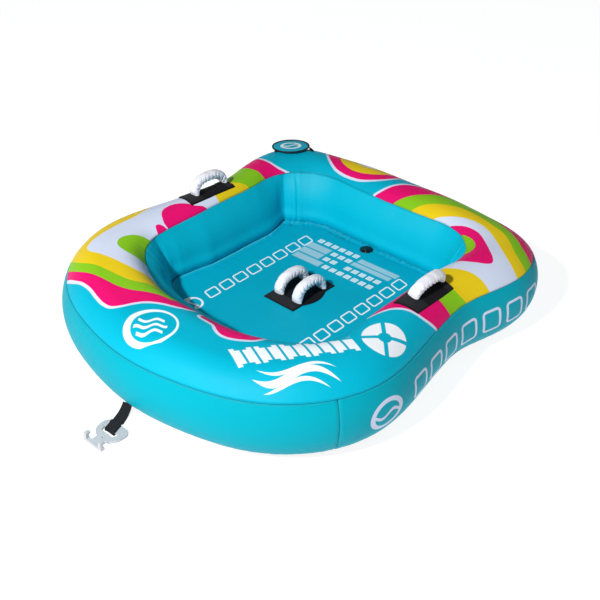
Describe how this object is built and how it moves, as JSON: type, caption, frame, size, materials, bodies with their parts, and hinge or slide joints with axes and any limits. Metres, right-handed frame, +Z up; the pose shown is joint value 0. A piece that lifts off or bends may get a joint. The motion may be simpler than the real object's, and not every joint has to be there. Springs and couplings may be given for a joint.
{
  "type": "towable tube",
  "caption": "Inflatable cockpit towable tube with raised ring, flat floor, padded carry grips on knuckle guards, covered valve, zipped cover and tow strap with quick connector.",
  "frame": {"origin": "middle of the flat underside, on the ground, between the left and right grips", "axes": "+Z up; -Y towards the tow strap, +Y towards the back wall; +X towards the right-hand grip seen from the tow end looking back"},
  "size_m": [1.6516, 2.0079, 0.4838],
  "materials": {
    "printed_nylon": "coated woven nylon, printed in turquoise with pink, green, yellow and pale bands",
    "turquoise_nylon": "coated woven nylon, slight sheen",
    "bottom_nylon": "coated woven nylon, matte",
    "floor_nylon": "coated woven nylon with pale print",
    "flap_nylon": "coated woven nylon over foam",
    "chamber_film": "flexible vinyl film",
    "guard_pad": "black neoprene with fabric face",
    "black_webbing": "woven polyester webbing",
    "black_binding": "ribbed edge binding and hook-and-loop tape",
    "white_neoprene": "ruched neoprene sleeve",
    "valve_plastic": "moulded black plastic",
    "zip_plastic": "moulded black plastic",
    "zip_metal": "brushed slider",
    "white_plastic": "moulded white plastic"
  },
  "bodies": {
    "tube": {"cover_top": "printed_nylon", "cover_side_front": "turquoise_nylon", "cover_side_right": "turquoise_nylon", "cover_side_back": "turquoise_nylon", "cover_side_left": "turquoise_nylon", "cover_cockpit_wall": "turquoise_nylon", "cover_bottom": "bottom_nylon", "floor_cover": "floor_nylon", "floor_air_chamber": "chamber_film", "main_air_chamber": "chamber_film", "guard_right": "guard_pad", "guard_left": "guard_pad", "guard_centre": "guard_pad", "guard_right_strip_front": "black_webbing", "guard_right_strip_back": "black_webbing", "guard_left_strip_front": "black_webbing", "guard_left_strip_back": "black_webbing", "guard_centre_strip_front": "black_webbing", "guard_centre_strip_back": "black_webbing", "main_valve_base": "valve_plastic", "main_valve_insert": "valve_plastic", "valve_flap_loop_pad": "black_binding", "valve_flap_hinge_tab": "black_webbing", "floor_valve_base": "valve_plastic", "zip_tape_lower": "black_webbing", "zip_tape_upper": "black_webbing", "zip_teeth": "zip_plastic", "tow_anchor_patch": "black_webbing"},
    "grip_left": {"grip_left_sleeve": "white_neoprene", "grip_left_webbing": "black_webbing"},
    "grip_right": {"grip_right_sleeve": "white_neoprene", "grip_right_webbing": "black_webbing"},
    "grip_centre_left": {"grip_centre_left_sleeve": "white_neoprene", "grip_centre_left_webbing": "black_webbing"},
    "grip_centre_right": {"grip_centre_right_sleeve": "white_neoprene", "grip_centre_right_webbing": "black_webbing"},
    "main_valve_cap": {"main_valve_cap": "valve_plastic"},
    "valve_flap": {"valve_flap": "flap_nylon", "valve_flap_piping": "black_binding", "valve_flap_hook_tape": "black_binding"},
    "floor_valve_cap": {"floor_valve_cap": "valve_plastic"},
    "zip_slider": {"zip_slider": "zip_metal"},
    "zip_pull": {"zip_pull": "zip_plastic"},
    "tow_strap": {"tow_strap": "black_webbing"},
    "tow_hook": {"tow_strap_end_loop": "black_webbing", "tow_hook": "white_plastic"}
  },
  "joints": [
    {"name": "grip_left_tilt", "type": "hinge", "parent": "tube", "child": "grip_left", "pos_m": [-0.613, 0, 0.3918], "axis": [0, 1, 0], "range_deg": [-40, 40], "stiffness_Nm_per_rad": 0.6},
    {"name": "grip_right_tilt", "type": "hinge", "parent": "tube", "child": "grip_right", "pos_m": [0.613, 0, 0.3918], "axis": [0, 1, 0], "range_deg": [-45, 18], "stiffness_Nm_per_rad": 0.6},
    {"name": "grip_centre_left_tilt", "type": "hinge", "parent": "tube", "child": "grip_centre_left", "pos_m": [-0.064, 0, 0.1208], "axis": [0, 1, 0], "range_deg": [-40, 8], "stiffness_Nm_per_rad": 0.6},
    {"name": "grip_centre_right_tilt", "type": "hinge", "parent": "tube", "child": "grip_centre_right", "pos_m": [0.04, 0, 0.1208], "axis": [0, 1, 0], "range_deg": [-8, 40], "stiffness_Nm_per_rad": 0.6},
    {"name": "main_valve_cap_turn", "type": "hinge", "parent": "tube", "child": "main_valve_cap", "pos_m": [-0.634, 0.577, 0.385], "axis": [0, 0, 1], "range_deg": [0, 270]},
    {"name": "valve_flap_open", "type": "hinge", "parent": "tube", "child": "valve_flap", "pos_m": [-0.5689, 0.6489, 0.3954], "axis": [-0.7413, 0.6712, 0], "range_deg": [0, 110]},
    {"name": "floor_valve_cap_turn", "type": "hinge", "parent": "tube", "child": "floor_valve_cap", "pos_m": [-0.027, 0.44, 0.121], "axis": [0, 0, 1], "range_deg": [0, 270]},
    {"name": "zip_slider_run", "type": "slide", "parent": "tube", "child": "zip_slider", "axis": [1, 0, 0], "range_m": [-0.06, 0.06]},
    {"name": "zip_pull_swing", "type": "hinge", "parent": "zip_slider", "child": "zip_pull", "pos_m": [0, 0.79725, 0.08481], "axis": [1, 0, 0], "range_deg": [-25, 120]},
    {"name": "tow_strap_lift", "type": "hinge", "parent": "tube", "child": "tow_strap", "pos_m": [-0.06, -0.961, 0.033], "axis": [-1, 0, 0], "range_deg": [0, 35]},
    {"name": "tow_hook_lift", "type": "hinge", "parent": "tow_strap", "child": "tow_hook", "pos_m": [-0.028, -1.037, 0.0052], "axis": [-1, 0, 0], "range_deg": [0, 40]}
  ]
}
